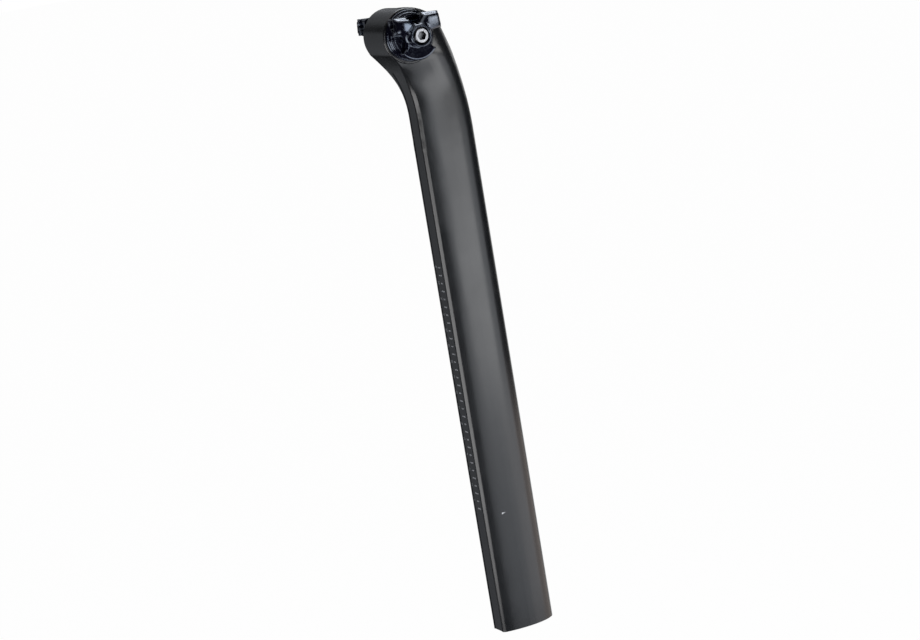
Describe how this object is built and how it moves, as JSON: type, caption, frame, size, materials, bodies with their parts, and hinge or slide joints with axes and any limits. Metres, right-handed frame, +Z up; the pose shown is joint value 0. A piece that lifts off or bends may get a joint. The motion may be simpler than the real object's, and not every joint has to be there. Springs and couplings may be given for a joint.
{
  "type": "bicycle seatpost",
  "caption": "Flat-backed aero bicycle seatpost with a setback head and a side-bolted clamp that grips the rails of a saddle.",
  "frame": {"origin": "middle of the tube's section at its lower end", "axes": "+Z up along the tube, +X forward towards the rounded nose of the section, +Y to the rider's left"},
  "size_m": [0.0561, 0.0658, 0.3964],
  "materials": {
    "carbon": "satin charcoal clear coat over carbon laminate",
    "black_aluminium": "polished black anodised",
    "bolt_steel": "plain steel"
  },
  "bodies": {
    "post": {"post_body": "carbon"},
    "cradle": {"inner_clamp_left": "black_aluminium", "inner_clamp_right": "black_aluminium"},
    "right_jaw": {"outer_clamp_right": "black_aluminium", "bolt_washer": "bolt_steel"},
    "left_jaw": {"outer_clamp_left": "black_aluminium", "clamp_nut": "bolt_steel"},
    "bolt": {"clamp_bolt": "bolt_steel"}
  },
  "joints": [
    {"name": "clamp_tilt", "type": "hinge", "parent": "post", "child": "cradle", "pos_m": [-0.02, 0, 0.38], "axis": [0, 1, 0], "range_deg": [-15, 15]},
    {"name": "right_jaw_slide", "type": "slide", "parent": "cradle", "child": "right_jaw", "axis": [0, -1, 0], "range_m": [0, 0.002]},
    {"name": "left_jaw_slide", "type": "slide", "parent": "cradle", "child": "left_jaw", "axis": [0, 1, 0], "range_m": [0, 0.002]},
    {"name": "bolt_turn", "type": "hinge", "parent": "right_jaw", "child": "bolt", "pos_m": [-0.02, 0, 0.38], "axis": [0, -1, 0], "range_deg": [0, 1440]}
  ],
  "couplings": [
    {"joint": "right_jaw_slide", "follows": "left_jaw_slide", "ratio": 1},
    {"joint": "bolt_turn", "follows": "left_jaw_slide", "rad_per_m": 12566}
  ]
}
